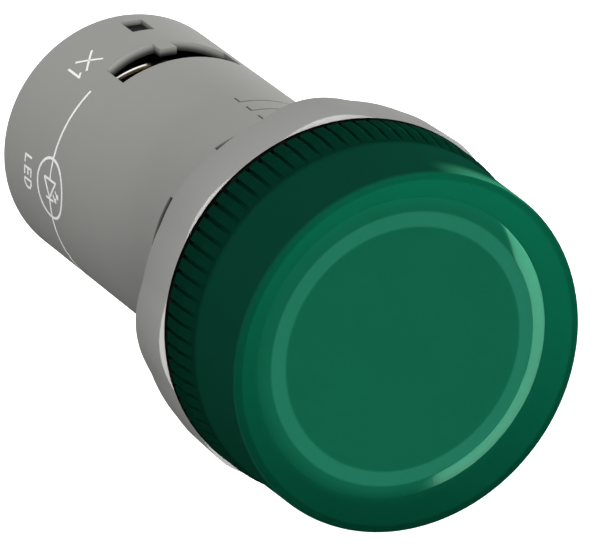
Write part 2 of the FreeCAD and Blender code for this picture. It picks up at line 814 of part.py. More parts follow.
def make_underside_parts():
    """The capacitor lies along the board's underside and the varistor lies flat beside it."""
    can_height = f"-({BOARD_TOP} + sizes.capacitor_radius + sizes.part_standoff)"
    can_front = f"(sizes.board_front_place + {LEAD_START} - sizes.capacitor_length) / 2"
    can = rod(
        "capacitor_can", "sizes.capacitor_radius", "sizes.capacitor_length",
        ("-sizes.capacitor_offset", can_front, can_height),
    )
    keep(can, "capacitor")
    disc_low = f"-({BOARD_TOP} + sizes.part_standoff + sizes.varistor_thickness)"
    disc = rod(
        "varistor_disc", "sizes.varistor_radius", "sizes.varistor_thickness",
        (f"{BOARD_HALF_WIDTH} - sizes.varistor_inset", "sizes.varistor_place", disc_low), "Z",
    )
    keep(disc, "varistor")


# Terminals: each has a lead from the board, a contact plate, a clamp plate and a screw

def make_lead(label, side):
    lead = rod(
        f"{label}_wire", "sizes.lead_radius", "sizes.lead_length",
        ("-sizes.lead_offset", LEAD_START, f"{side} * {LEAD_HEIGHT}"),
    )
    keep(lead, label)


def segment_plate(name, front, thickness, half_width, arc, edge, side):
    """A flat plate between the partition and the bore, with a round outer edge."""
    low = edge if side > 0 else f"-{arc}"
    blank = box(
        f"{name}_blank",
        (f"-{half_width}", front, low),
        (f"2 * {half_width}", thickness, f"{arc} - {edge}"),
    )
    round_edge = rod(f"{name}_round", arc, thickness, ("0", front, "0"))
    return combine("Common", f"{name}_plate", blank, round_edge)


def make_contact_plate(label, side):
    """The fixed plate, with a threaded boss that sits in the terminal block."""
    plate = segment_plate(
        label, BLOCK_REAR, "sizes.contact_thickness", "sizes.contact_half_width",
        f"({REAR_BORE} - sizes.contact_inset)", CONTACT_EDGE, side,
    )
    offset = f"{side} * {TERMINAL_OFFSET}"
    start = f"({BLOCK_REAR} - sizes.contact_boss_length)"
    length = "sizes.contact_boss_length + sizes.contact_thickness"
    boss = rod(f"{label}_boss", "sizes.contact_boss_radius", length, ("0", start, offset))
    solid = join(f"{label}_solid", [plate, boss])
    hole = rod(
        f"{label}_hole", "sizes.screw_radius + sizes.screw_thread_gap", length,
        ("0", start, offset),
    )
    keep(combine("Cut", f"{label}_drilled", solid, hole), label)


def make_clamp_plate(label, side):
    """The moving plate under the screw's head, drawn at the rear edge of the wire entry."""
    plate = segment_plate(
        label, CLAMP_FRONT, "sizes.clamp_thickness", "sizes.clamp_half_width",
        f"({REAR_BORE} - sizes.clamp_inset)", f"({CONTACT_EDGE} + sizes.clamp_edge_gap)", side,
    )
    hole = rod(
        f"{label}_hole", "sizes.screw_radius + sizes.clamp_hole_gap", "sizes.clamp_thickness",
        ("0", CLAMP_FRONT, f"{side} * {TERMINAL_OFFSET}"),
    )
    keep(combine("Cut", f"{label}_drilled", plate, hole), label)


def make_terminal_screw(label, side):
    """A pan-head screw, unscrewed to its stop, with a crossed driver slot."""
    body = new_body(label)
    offset = f"{side} * {TERMINAL_OFFSET}"
    tip = f"({ENTRY_PLACE} - sizes.screw_tip_depth)"
    shank = across_sketch(body, f"{label}_shank_outline", tip)
    draw_circle(shank, "0", offset, "sizes.screw_radius")
    pad_back(body, f"{label}_shank", shank, f"{HEAD_FRONT} - {tip}")
    head = across_sketch(body, f"{label}_head_outline", HEAD_FRONT)
    draw_circle(head, "0", offset, "sizes.screw_head_radius")
    pad_back(body, f"{label}_head", head, "sizes.screw_head_height")
    slot_floor = f"{HEAD_FRONT} + sizes.screw_head_height - sizes.screw_slot_depth"
    for number, (wide, tall) in enumerate((
        ("sizes.screw_slot_length", "sizes.screw_slot_width"),
        ("sizes.screw_slot_width", "sizes.screw_slot_length"),
    ), start=1):
        slot = across_sketch(body, f"{label}_slot_{number}_outline", slot_floor)
        draw_outline(slot, rectangle(
            f"-{wide} / 2", f"{wide} / 2", f"{offset} - {tall} / 2", f"{offset} + {tall} / 2",
        ))
        pocket_back(body, f"{label}_slot_{number}", slot, "2 * sizes.screw_slot_depth")


# Terminal block: a plug on the housing's shoulder that carries the contacts and a partition

def make_terminal_block():
    body = new_body("terminal_block")
    rim_front = f"({BLOCK_REAR} - sizes.block_rim_thickness)"
    revolve(body, "plug", [
        ("0", BLOCK_FRONT),
        (f"{FRONT_BORE} - sizes.insert_gap", BLOCK_FRONT),
        (f"{FRONT_BORE} - sizes.insert_gap", rim_front),
        (INSERT_RADIUS, rim_front),
        (INSERT_RADIUS, BLOCK_REAR),
        ("0", BLOCK_REAR),
    ])
    wall = across_sketch(body, "partition_outline", f"{BLOCK_REAR} - sizes.block_rim_thickness / 2")
    half_width = f"({INSERT_RADIUS} - sizes.insert_gap)"
    half_thick = "sizes.partition_thickness / 2"
    draw_outline(wall, rectangle(f"-{half_width}", half_width, f"-{half_thick}", half_thick))
    pad_back(
        body, "partition", wall,
        f"{COVER_FRONT} - sizes.insert_gap - ({BLOCK_REAR} - sizes.block_rim_thickness / 2)",
    )
    holes = across_sketch(body, "block_holes_outline", BLOCK_FRONT)
    for side in (1, -1):
        draw_circle(
            holes, "0", f"{side} * {TERMINAL_OFFSET}",
            "sizes.contact_boss_radius + sizes.boss_pocket_gap",
        )
        draw_circle(
            holes, "-sizes.lead_offset", f"{side} * {LEAD_HEIGHT}",
            "sizes.lead_radius + sizes.part_standoff",
        )
    pocket_back(body, "block_holes", holes, "sizes.block_thickness")


# Rear cover: a plug with two driver holes, snapped into the barrel's windows

def make_rear_cover():
    body = new_body("rear_cover")
    plate_front = f"({COVER_REAR} - sizes.cover_plate)"
    skirt = f"({INSERT_RADIUS} - sizes.cover_skirt)"
    revolve(body, "plug", [
        ("0", plate_front),
        (skirt, plate_front),
        (skirt, COVER_FRONT),
        (INSERT_RADIUS, COVER_FRONT),
        (INSERT_RADIUS, COVER_REAR),
        ("0", COVER_REAR),
    ])
    tubes = across_sketch(body, "driver_tubes_outline", COVER_FRONT)
    holes = across_sketch(body, "driver_holes_outline", COVER_FRONT)
    for side in (1, -1):
        offset = f"{side} * {TERMINAL_OFFSET}"
        draw_circle(
            tubes, "0", offset, "sizes.driver_hole_radius + sizes.driver_tube_wall",
        )
        draw_circle(holes, "0", offset, "sizes.driver_hole_radius")
    pad_back(body, "driver_tubes", tubes, f"{COVER_REAR} - {COVER_FRONT}")
    pocket_back(body, "driver_holes", holes, f"2 * ({COVER_REAR} - {COVER_FRONT})")
    latch = across_sketch(body, "latch_outline", f"{WINDOW_PLACE} + sizes.latch_side_gap")
    half_width = "(sizes.window_half_width - sizes.latch_side_gap)"
    reach = f"({REAR_BORE} + sizes.latch_reach)"
    root = f"({INSERT_RADIUS} - sizes.cover_skirt / 2)"
    draw_outline(latch, rectangle(f"-{half_width}", half_width, root, reach))
    draw_outline(latch, rectangle(f"-{half_width}", half_width, f"-{reach}", f"-{root}"))
    pad_back(body, "latches", latch, "sizes.window_length - 2 * sizes.latch_side_gap")


make_housing()
make_lens()
make_gasket()
make_lens_seal()
make_fixing_nut()
make_diffuser()
make_led_holder()
make_led()
make_board()
make_resistor("resistor_1", -1)
make_resistor("resistor_2", 1)
make_rectifier()
make_underside_parts()
make_terminal_block()
for terminal, side in (("x1", 1), ("x2", -1)):
    make_lead(f"lead_{terminal}", side)
    make_contact_plate(f"contact_plate_{terminal}", side)
    make_clamp_plate(f"clamp_plate_{terminal}", side)
    make_terminal_screw(f"terminal_screw_{terminal}", side)
make_rear_cover()
doc.recompute()

for item in doc.Objects:
    if "Invalid" in item.State or "Error" in item.State:
        raise RuntimeError(f"{item.Label} was not built: {item.State}")
for item in finished:
    if item.Shape.isNull() or not item.Shape.isValid():
        raise RuntimeError(f"{item.Label} has no valid shape")

os.makedirs("parts", exist_ok=True)
for item in finished:
    item.Shape.exportStep(f"parts/{item.Label}.step")
    print(f"{item.Label}: {len(item.Shape.Solids)} solid, {item.Shape.Volume:.1f} mm3")
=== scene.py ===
import math

import bmesh
import bpy
from mathutils import Matrix, Vector


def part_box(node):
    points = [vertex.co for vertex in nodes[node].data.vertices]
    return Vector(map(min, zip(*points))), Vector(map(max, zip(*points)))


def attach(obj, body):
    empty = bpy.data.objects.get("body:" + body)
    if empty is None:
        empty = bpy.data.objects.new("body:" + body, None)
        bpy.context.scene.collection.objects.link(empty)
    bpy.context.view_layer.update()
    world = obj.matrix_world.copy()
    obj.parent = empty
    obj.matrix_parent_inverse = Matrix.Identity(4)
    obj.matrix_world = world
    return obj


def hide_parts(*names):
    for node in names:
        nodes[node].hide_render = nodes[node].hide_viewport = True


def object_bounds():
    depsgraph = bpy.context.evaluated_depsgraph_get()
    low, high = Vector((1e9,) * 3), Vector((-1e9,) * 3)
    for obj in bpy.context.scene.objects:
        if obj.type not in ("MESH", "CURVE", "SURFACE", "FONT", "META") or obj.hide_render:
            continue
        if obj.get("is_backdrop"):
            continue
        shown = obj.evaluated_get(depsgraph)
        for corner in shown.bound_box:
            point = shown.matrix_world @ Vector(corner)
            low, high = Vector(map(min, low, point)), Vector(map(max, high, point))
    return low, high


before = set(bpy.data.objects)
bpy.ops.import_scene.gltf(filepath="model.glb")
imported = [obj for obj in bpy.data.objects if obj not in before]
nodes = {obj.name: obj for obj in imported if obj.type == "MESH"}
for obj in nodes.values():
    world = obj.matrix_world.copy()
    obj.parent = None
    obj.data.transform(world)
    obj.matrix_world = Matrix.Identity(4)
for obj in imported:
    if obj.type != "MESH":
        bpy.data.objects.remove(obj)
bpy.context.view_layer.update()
scene = bpy.context.scene

# Camera: a long lens, left of the light's axis and a little above it, so that the lens,
# the grip, the nut and the marked side of the barrel all show.
MM = 0.001
CAMERA_PLACE = (-0.18739, -0.39578, 0.16716)
CAMERA_RIGHT = Vector((0.90705, -0.42103, 0.0))
CAMERA_UP = Vector((0.14813, 0.31912, 0.93607))
camera_data = bpy.data.cameras.new("camera")
camera_data.sensor_width = 36.0
camera_data.lens = 361.4
camera_data.clip_start = 0.05
camera_data.clip_end = 20.0
camera = bpy.data.objects.new("camera", camera_data)
scene.collection.objects.link(camera)
turn = Matrix((CAMERA_RIGHT, CAMERA_UP, CAMERA_RIGHT.cross(CAMERA_UP))).transposed()
camera.matrix_world = Matrix.Translation(CAMERA_PLACE) @ turn.to_4x4()
scene.camera = camera


# Housing: flange, tube, wire entries, latch windows and thread in one grey moulding. It is
# polycarbonate, made in a two-part mould whose spark-eroded skin leaves a fine matt grain.
# Its grey is darkened in the recesses behind the nut and deep in the openings: painted shade.
HOUSING_GREY = (0.324, 0.326, 0.310)
HOUSING_GRAIN = 0.18 * MM
GRAIN_DEPTH = 0.02 * MM
CLOUDS_PER_METRE = 240.0
BARREL_FRONT = -0.9 * MM
BARREL_REAR = 43.1 * MM
FRONT_RADIUS = 10.65 * MM
REAR_RADIUS = 10.9 * MM
BARREL_WIDENING = (REAR_RADIUS - FRONT_RADIUS) / (BARREL_REAR - BARREL_FRONT)
BARREL_AT_GASKET = FRONT_RADIUS - BARREL_FRONT * BARREL_WIDENING
RECESS_RADIUS = 10.58 * MM
RECESS_REAR = 22 * MM
OPENING_EDGE = 0.05 * MM
OPENING_DEEP = 0.62 * MM
OPENING_REAR = 42.3 * MM
# Shares of painted shade in the relief steps, in the thread and in an opening.
STEP_PAINTED_SHADE = 0.62
THREAD_PAINTED_SHADE = 1.0
OPENING_PAINTED_SHADE = 0.9


def new_group(name, inputs, outputs):
    """A shader node group with named sockets: returns the tree, its input and its output."""
    tree = bpy.data.node_groups.new(name, "ShaderNodeTree")
    for label, kind, value in inputs:
        socket = tree.interface.new_socket(label, in_out="INPUT", socket_type=kind)
        socket.default_value = value
    for label, kind in outputs:
        tree.interface.new_socket(label, in_out="OUTPUT", socket_type=kind)
    return tree, tree.nodes.new("NodeGroupInput"), tree.nodes.new("NodeGroupOutput")


def feed(tree, socket, source):
    """Links a socket to another or gives it a value: a colour as its red, green and blue."""
    if isinstance(source, bpy.types.NodeSocket):
        tree.links.new(source, socket)
    elif socket.type == "RGBA":
        socket.default_value = (*source, 1.0)
    else:
        socket.default_value = source


def add_node(tree, kind, sockets=(), **settings):
    """A node with its settings made and its input sockets fed."""
    node = tree.nodes.new(kind)
    for key, value in settings.items():
        setattr(node, key, value)
    for socket, source in dict(sockets).items():
        feed(tree, node.inputs[socket], source)
    return node


def work_out(tree, operation, first, second=0.0):
    """The result of one sum on two values or sockets."""
    return add_node(tree, "ShaderNodeMath", {0: first, 1: second}, operation=operation).outputs[0]


def product(tree, first, *others):
    """Values multiplied with each other. Of masks it is 1 where all of them are 1."""
    for other in others:
        first = work_out(tree, "MULTIPLY", first, other)
    return first


def between(tree, share, first, second):
    """The value that lies at a share of the way from the first number to the second."""
    return work_out(tree, "ADD", first, product(tree, share, second - first))


def swing_round(tree, pattern, amount, middle):
    """A pattern of 0 to 1, turned into a swing of the given amount about a middle value."""
    centred = work_out(tree, "SUBTRACT", pattern, 0.5)
    return work_out(tree, "ADD", product(tree, centred, amount), middle)


def stretch(tree, value, start, end, low=0.0, high=1.0, change="LINEAR"):
    """Takes a value from start to end over to a value from low to high, and no further."""
    return add_node(tree, "ShaderNodeMapRange", {
        "Value": value, "From Min": start, "From Max": end, "To Min": low, "To Max": high,
    }, interpolation_type=change).outputs["Result"]


def soft_step(tree, value, start, end):
    """0 before the start, 1 past the end and a smooth change between them."""
    return stretch(tree, value, start, end, change="SMOOTHSTEP")


def object_place(tree):
    return add_node(tree, "ShaderNodeTexCoord").outputs["Object"]


def place_across(tree):
    """The place on the object, by its X, Y and Z."""
    return add_node(tree, "ShaderNodeSeparateXYZ", {0: object_place(tree)}).outputs


def radius_from_axis(tree, across):
    """The distance of a place from the light's axis."""
    squares = [work_out(tree, "POWER", across[name], 2.0) for name in "XZ"]
    return work_out(tree, "SQRT", work_out(tree, "ADD", *squares))


def noise(tree, place, per_metre, detail, roughness=0.5):
    """A cloudy pattern of 0 to 1."""
    return add_node(tree, "ShaderNodeTexNoise", {
        "Vector": place, "Scale": per_metre, "Detail": detail, "Roughness": roughness,
    }).outputs["Fac"]


def scale_colour(tree, color, factor):
    return add_node(tree, "ShaderNodeVectorMath", {0: color, "Scale": factor},
                    operation="SCALE").outputs[0]


def give_relief(tree, out, pattern, strength):
    """Lets a pattern stand out of a finish, by the normals that its group puts out."""
    bump = add_node(tree, "ShaderNodeBump", {
        "Strength": strength, "Distance": GRAIN_DEPTH, "Height": pattern,
    })
    feed(tree, out.inputs["Normal"], bump.outputs["Normal"])


def moulded_skin_group():
    """The skin of a moulding: clouds in the pigment, the mould's grain and an uneven gloss."""
    tree, given, out = new_group("moulded_skin", [
        ("Color", "NodeSocketColor", (0.5, 0.5, 0.5, 1.0)),
        ("Clouding", "NodeSocketFloat", 0.05),
        ("Grain size", "NodeSocketFloat", HOUSING_GRAIN),
        ("Grain height", "NodeSocketFloat", 0.3),
        ("Roughness", "NodeSocketFloat", 0.5),
        ("Unevenness", "NodeSocketFloat", 0.08),
    ], [
        ("Color", "NodeSocketColor"),
        ("Roughness", "NodeSocketFloat"),
        ("Normal", "NodeSocketVector"),
    ])
    place = object_place(tree)
    cloud = noise(tree, place, CLOUDS_PER_METRE, 4.0)
    factor = swing_round(tree, cloud, given.outputs["Clouding"], 1.0)
    feed(tree, out.inputs["Color"], scale_colour(tree, given.outputs["Color"], factor))
    per_metre = work_out(tree, "DIVIDE", 1.0, given.outputs["Grain size"])
    grain = noise(tree, place, per_metre, 2.0, roughness=0.6)
    gloss = swing_round(tree, grain, given.outputs["Unevenness"], given.outputs["Roughness"])
    feed(tree, out.inputs["Roughness"], gloss)
    give_relief(tree, out, grain, given.outputs["Grain height"])
    return tree


moulded_skin = moulded_skin_group()


def new_material(name, **plain):
    """A material with one Principled shader, whose plain values are set on its own sockets."""
    material = bpy.data.materials.new(name)
    material.use_nodes = True
    tree = material.node_tree
    shader = tree.nodes["Principled BSDF"]
    for socket, value in plain.items():
        feed(tree, shader.inputs[socket.replace("_", " ")], value)
    return material, tree, shader


def lay_on(tree, shader, group, **given):
    """Places a finish's node group in a material and wires its results to the shader."""
    finish = add_node(tree, "ShaderNodeGroup", node_tree=group)
    for socket, source in given.items():
        feed(tree, finish.inputs[socket.replace("_", " ")], source)
    feed(tree, shader.inputs["Base Color"], finish.outputs["Color"])
    feed(tree, shader.inputs["Roughness"], finish.outputs["Roughness"])
    feed(tree, shader.inputs["Normal"], finish.outputs["Normal"])


def dress(names, material):
    """Gives carried nodes their finished material."""
    for name in names:
        mesh = nodes[name].data
        mesh.materials.clear()
        mesh.materials.append(material)


housing_material, tree, shader = new_material("housing_grey", Specular_IOR_Level=0.0)
across = place_across(tree)
radius = radius_from_axis(tree, across)
# Painted shade: the grey darkens in the relief steps and thread, and with depth in the openings.
recessed = product(tree, work_out(tree, "LESS_THAN", radius, RECESS_RADIUS),
                   work_out(tree, "LESS_THAN", across["Y"], RECESS_REAR))
on_thread = work_out(tree, "GREATER_THAN", across["X"], 0.0)
painted_shade_in_recess = product(tree, recessed, between(tree, on_thread, STEP_PAINTED_SHADE, THREAD_PAINTED_SHADE))
surface = work_out(tree, "ADD", BARREL_AT_GASKET, product(tree, across["Y"], BARREL_WIDENING))
depth = work_out(tree, "SUBTRACT", surface, radius)
in_opening = product(tree, soft_step(tree, depth, OPENING_EDGE, OPENING_DEEP),
                     work_out(tree, "GREATER_THAN", across["Y"], RECESS_REAR),
                     work_out(tree, "LESS_THAN", across["Y"], OPENING_REAR))
painted_shade_share = work_out(tree, "ADD", painted_shade_in_recess, product(tree, in_opening, OPENING_PAINTED_SHADE))
grey = scale_colour(tree, HOUSING_GREY, work_out(tree, "SUBTRACT", 1.0, painted_shade_share))
lay_on(tree, shader, moulded_skin, Color=grey, Clouding=0.05, Grain_height=0.35, Roughness=0.55)
dress(["housing"], housing_material)


# Marks on the barrel: white ink, pad-printed on the finished moulding, a few hundredths thick.
# A circuit line runs from terminal X1 through the sign of a light diode to terminal X2.
INK_WHITE = (0.95, 0.95, 0.94)
INK_LIFT = 0.003 * MM
INK_THICKNESS = 0.015 * MM
BEND_STEP = 0.3 * MM
DOT_SIDES = 12
RING_SIDES = 72
LINE_WIDTH = 0.24 * MM
MARK_WIDTH = 0.2 * MM
RAY_WIDTH = 0.16 * MM
CIRCUIT_PLACE = 33.2 * MM
CIRCUIT_RADIUS = 2.53 * MM
CIRCUIT_ANGLE = 178.1
LINE_END_ANGLE = 130.7
WORD_PLACE = 37.8 * MM
TERMINAL_PLACE = 37.3 * MM
ink_material, tree, shader = new_material("white_ink", Specular_IOR_Level=0.2)
lay_on(tree, shader, moulded_skin, Color=INK_WHITE, Clouding=0.04,
       Grain_size=0.1 * MM, Grain_height=0.12, Roughness=0.5)


def wrap_print(name, flat, angle, place):
    """Bends a flat print round the barrel: x runs round it and y towards the lens."""
    low = min(vert.co.x for vert in flat.verts)
    high = max(vert.co.x for vert in flat.verts)
    cuts = int((high - low) / BEND_STEP)
    for number in range(1, cuts + 1):
        bmesh.ops.bisect_plane(
            flat, geom=flat.verts[:] + flat.edges[:] + flat.faces[:],
            plane_co=(low + number * (high - low) / (cuts + 1), 0, 0), plane_no=(1, 0, 0),
        )
    bmesh.ops.recalc_face_normals(flat, faces=flat.faces[:])
    if sum(face.normal.z for face in flat.faces) < 0:
        bmesh.ops.reverse_faces(flat, faces=flat.faces[:])
    top = bmesh.ops.extrude_face_region(flat, geom=flat.faces[:], use_keep_orig=True)
    raised = [item for item in top["geom"] if isinstance(item, bmesh.types.BMVert)]
    bmesh.ops.translate(flat, verts=raised, vec=(0, 0, INK_THICKNESS))
    for vert in flat.verts:
        around = math.radians(angle) + vert.co.x / REAR_RADIUS
        along = place - vert.co.y
        out = BARREL_AT_GASKET + along * BARREL_WIDENING + INK_LIFT + vert.co.z
        vert.co = Vector((out * math.cos(around), along, out * math.sin(around)))
    bmesh.ops.recalc_face_normals(flat, faces=flat.faces[:])
    mesh = bpy.data.meshes.new(name)
    flat.to_mesh(mesh)
    flat.free()
    mesh.materials.append(ink_material)
    piece = bpy.data.objects.new(name, mesh)
    scene.collection.objects.link(piece)
    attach(piece, "base")


def add_stroke(flat, start, end, width):
    """A straight stroke of ink between two points."""
    start, end = Vector((*start, 0)), Vector((*end, 0))
    along = end - start
    square = bmesh.ops.create_grid(flat, x_segments=1, y_segments=1, size=0.5)["verts"]
    bmesh.ops.scale(flat, verts=square, vec=(along.length, width, 1))
    bmesh.ops.rotate(flat, verts=square, cent=(0, 0, 0),
                     matrix=Matrix.Rotation(math.atan2(along.y, along.x), 3, "Z"))
    bmesh.ops.translate(flat, verts=square, vec=(start + end) / 2)


def add_paths(flat, paths, width, shift=0.0):
    """Paths of strokes with round corners. Their points are in millimetres, and a shift moves
    them to the right and down by as much."""
    for path in paths:
        points = [((x + shift) * MM, (y - shift) * MM) for x, y in path]
        for start, end in zip(points, points[1:]):
            add_stroke(flat, start, end, width)
        for point in points[1:-1]:
            dot = bmesh.ops.create_circle(flat, cap_ends=True, segments=DOT_SIDES,
                                          radius=width / 2)["verts"]
            bmesh.ops.translate(flat, verts=dot, vec=(*point, 0))


def add_ring(flat, radius, width):
    """A round line of ink about the origin."""
    loops = []
    for edge_radius in (radius - width / 2, radius + width / 2):
        made = bmesh.ops.create_circle(flat, segments=RING_SIDES, radius=edge_radius)
        loops += list({edge for vert in made["verts"] for edge in vert.link_edges})
    bmesh.ops.bridge_loops(flat, edges=loops)


line_end = math.radians(CIRCUIT_ANGLE - LINE_END_ANGLE) * REAR_RADIUS
flat = bmesh.new()
add_stroke(flat, (-line_end, 0), (-CIRCUIT_RADIUS, 0), LINE_WIDTH)
add_stroke(flat, (CIRCUIT_RADIUS, 0), (line_end, 0), LINE_WIDTH)
wrap_print("print_circuit_line", flat, CIRCUIT_ANGLE, CIRCUIT_PLACE)

flat = bmesh.new()
add_ring(flat, CIRCUIT_RADIUS, LINE_WIDTH)
wrap_print("print_lamp_ring", flat, CIRCUIT_ANGLE, CIRCUIT_PLACE)

DIODE = (
    ((-0.75, -1.15), (0.8, 0), (-0.75, 1.15), (-0.75, -1.15)),
    ((-2.4, 0), (-0.75, 0)),
    ((0.85, 0), (2.4, 0)),
    ((0.9, -0.72), (0.9, 0.72)),
)
RAY = (((0, 1.02), (0.5, 1.62)), ((0.16, 1.57), (0.5, 1.62), (0.44, 1.26)))
RAY_SHIFTS = (-0.1, 0.35)
flat = bmesh.new()
add_paths(flat, DIODE, MARK_WIDTH)
for shift in RAY_SHIFTS:
    add_paths(flat, RAY, RAY_WIDTH, shift)
wrap_print("print_diode", flat, CIRCUIT_ANGLE, CIRCUIT_PLACE)

LETTER_X = (((-0.86, -1.15), (0.86, 1.15)), ((-0.86, 1.15), (0.86, -1.15)))
LETTERS_LED = (
    ((-1.4, 0.65), (-1.4, -0.65), (-0.72, -0.65)),
    ((0.28, 0.65), (-0.38, 0.65), (-0.38, -0.65), (0.28, -0.65)),
    ((-0.38, 0.02), (0.22, 0.02)),
    ((0.62, -0.65), (0.62, 0.65), (0.98, 0.65), (1.28, 0.4), (1.36, 0),
     (1.28, -0.4), (0.98, -0.65), (0.62, -0.65)),
)
FIGURE_1 = (((0.35, 0.69), (0.74, 1.15), (0.74, -1.15)),)
FIGURE_2 = (((-0.52, 0.62), (-0.38, 0.98), (0, 1.15), (0.38, 0.98), (0.52, 0.62), (0.42, 0.2),
             (-0.55, -1.15), (0.58, -1.15)),)
for name, paths, angle, place in (
    ("print_led", LETTERS_LED, 178.4, WORD_PLACE),
    ("print_x1_letter", LETTER_X, 120.2, TERMINAL_PLACE),
    ("print_x1_figure", FIGURE_1, 125.1, TERMINAL_PLACE),
    ("print_x2_letter", LETTER_X, 233.2, TERMINAL_PLACE),
    ("print_x2_figure", FIGURE_2, 243.4, TERMINAL_PLACE),
):
    flat = bmesh.new()
    add_paths(flat, paths, MARK_WIDTH)
    wrap_print(name, flat, angle, place)


# Holder: a white nylon funnel on the board's front end, which keeps the LED on the axis and
# throws its side light forward. It is satin, with a slightly waxy skin.
HOLDER_WHITE = (0.80, 0.80, 0.77)
holder_material, tree, shader = new_material("holder_white", Subsurface_Weight=0.2,
                                             Subsurface_Scale=0.4 * MM)
lay_on(tree, shader, moulded_skin, Color=HOLDER_WHITE, Clouding=0.08,
       Grain_size=0.3 * MM, Grain_height=0.2, Roughness=0.4)
dress(["led_holder"], holder_material)


# LED: a clear dome of cast epoxy, tinted green, in which the chip sits near the rear end.
# Castings of this kind show faint flow lines and a slightly rippled dome.
LED_TINT = (0.36, 0.84, 0.55)
led_material, tree, shader = new_material("led_epoxy", Transmission_Weight=0.75, IOR=1.52)
lay_on(tree, shader, moulded_skin, Color=LED_TINT, Clouding=0.15,
       Grain_size=1.2 * MM, Grain_height=0.1, Roughness=0.12, Unevenness=0.1)
dress(["led"], led_material)


# Wires of the LED and of the terminals: copper drawn to size and dipped in tin. The dip
# leaves a soft, slightly lumpy silver skin with duller patches.
TIN_GREY = (0.66, 0.66, 0.64)
TIN_DULL = (0.42, 0.42, 0.41)
PATCHES_PER_METRE = 420.0
DULL_FROM = 0.42
DULL_FULL = 0.72
DULL_ROUGHENS = 0.3


def blend_colours(tree, share, first, second):
    return add_node(tree, "ShaderNodeMix", {"Factor": share, 6: first, 7: second},
                    data_type="RGBA").outputs[2]


def metal_skin_group():
    """The skin of a metal part: lines of its working, dull patches and an uneven polish."""
    tree, given, out = new_group("metal_skin", [
        ("Color", "NodeSocketColor", (0.7, 0.7, 0.7, 1.0)),
        ("Dull color", "NodeSocketColor", (0.4, 0.4, 0.4, 1.0)),
        ("Dulling", "NodeSocketFloat", 0.4),
        ("Lines", "NodeSocketVector", (2000.0, 2000.0, 2000.0)),
        ("Line height", "NodeSocketFloat", 0.3),
        ("Roughness", "NodeSocketFloat", 0.3),
        ("Unevenness", "NodeSocketFloat", 0.2),
    ], [
        ("Color", "NodeSocketColor"),
        ("Roughness", "NodeSocketFloat"),
        ("Normal", "NodeSocketVector"),
    ])
    place = object_place(tree)
    patch = noise(tree, place, PATCHES_PER_METRE, 5.0)
    dull = stretch(tree, patch, DULL_FROM, DULL_FULL, 0.0, given.outputs["Dulling"])
    feed(tree, out.inputs["Color"],
         blend_colours(tree, dull, given.outputs["Color"], given.outputs["Dull color"]))
    drawn = add_node(tree, "ShaderNodeVectorMath", {0: place, 1: given.outputs["Lines"]},
                     operation="MULTIPLY")
    lines = noise(tree, drawn.outputs[0], 1.0, 3.0)
    gloss = swing_round(tree, lines, given.outputs["Unevenness"], given.outputs["Roughness"])
    feed(tree, out.inputs["Roughness"],
         work_out(tree, "ADD", gloss, product(tree, dull, DULL_ROUGHENS)))
    give_relief(tree, out, lines, given.outputs["Line height"])
    return tree


metal_skin = metal_skin_group()
tin_material, tree, shader = new_material("tinned_wire", Metallic=1.0)
lay_on(tree, shader, metal_skin, Color=TIN_GREY, Dull_color=TIN_DULL,
       Lines=(1600, 1600, 1600), Line_height=0.5, Roughness=0.32)
dress(["led_leads", "lead_x1", "lead_x2"], tin_material)


# Board: glass-epoxy, cut to slide between the housing's rails. Copper tracks show as lighter
# lines under the green solder mask, with tinned pads where the parts are soldered in.
MASK_GREEN = (0.020, 0.130, 0.048)
TRACK_GREEN = (0.050, 0.235, 0.085)
TRACK_WIDTH = 0.28 * MM
PAD_PITCH = 2.54 * MM
PAD_SHARE = 0.24
board_material, tree, shader = new_material("board_green", Coat_Weight=0.25)
place = object_place(tree)
tracks = add_node(tree, "ShaderNodeTexBrick", {
    "Vector": place, "Color1": MASK_GREEN, "Color2": MASK_GREEN,
    "Mortar": TRACK_GREEN, "Scale": 1.0, "Mortar Size": TRACK_WIDTH,
    "Brick Width": 3 * PAD_PITCH, "Row Height": PAD_PITCH,
})
pads = add_node(tree, "ShaderNodeTexVoronoi",
                {"Vector": place, "Scale": 1 / PAD_PITCH, "Randomness": 0.0}, distance="EUCLIDEAN")
in_pad = work_out(tree, "LESS_THAN", pads.outputs["Distance"], PAD_SHARE)
lay_on(tree, shader, moulded_skin,
       Color=blend_colours(tree, in_pad, tracks.outputs["Color"], TIN_GREY),
       Clouding=0.25, Grain_size=0.35 * MM, Grain_height=0.4, Roughness=0.32)
feed(tree, shader.inputs["Metallic"], in_pad)
dress(["circuit_board"], board_material)


# Resistors: ceramic rods with metal film, dipped in blue-grey lacquer and marked with colour
# rings round them. Their ends are crimped caps with tinned wires.
LACQUER = (0.20, 0.33, 0.46)
BROWN = (0.13, 0.045, 0.015)
BLACK = (0.01, 0.01, 0.01)
RED = (0.55, 0.03, 0.02)
CAP_SHARE = 0.10
RING_SHARE = 0.06
RINGS = ((0.20, BROWN), (0.34, BLACK), (0.48, BLACK), (0.62, RED), (0.78, BROWN))


def share_along(tree, low, high):
    """How far along Y a point lies between two places, from 0 to 1."""
    return stretch(tree, place_across(tree)["Y"], low, high)


def colour_steps(tree, share, steps):
    """Colours that change in steps along a share of 0 to 1."""
    ramp = add_node(tree, "ShaderNodeValToRGB", {"Fac": share})
    ramp.color_ramp.interpolation = "CONSTANT"
    entries = ramp.color_ramp.elements
    while len(entries) < len(steps):
        entries.new(0.5)
    for entry, (position, color) in zip(entries, steps):
        entry.position = position
        entry.color = (*color, 1.0)
    return ramp.outputs["Color"]


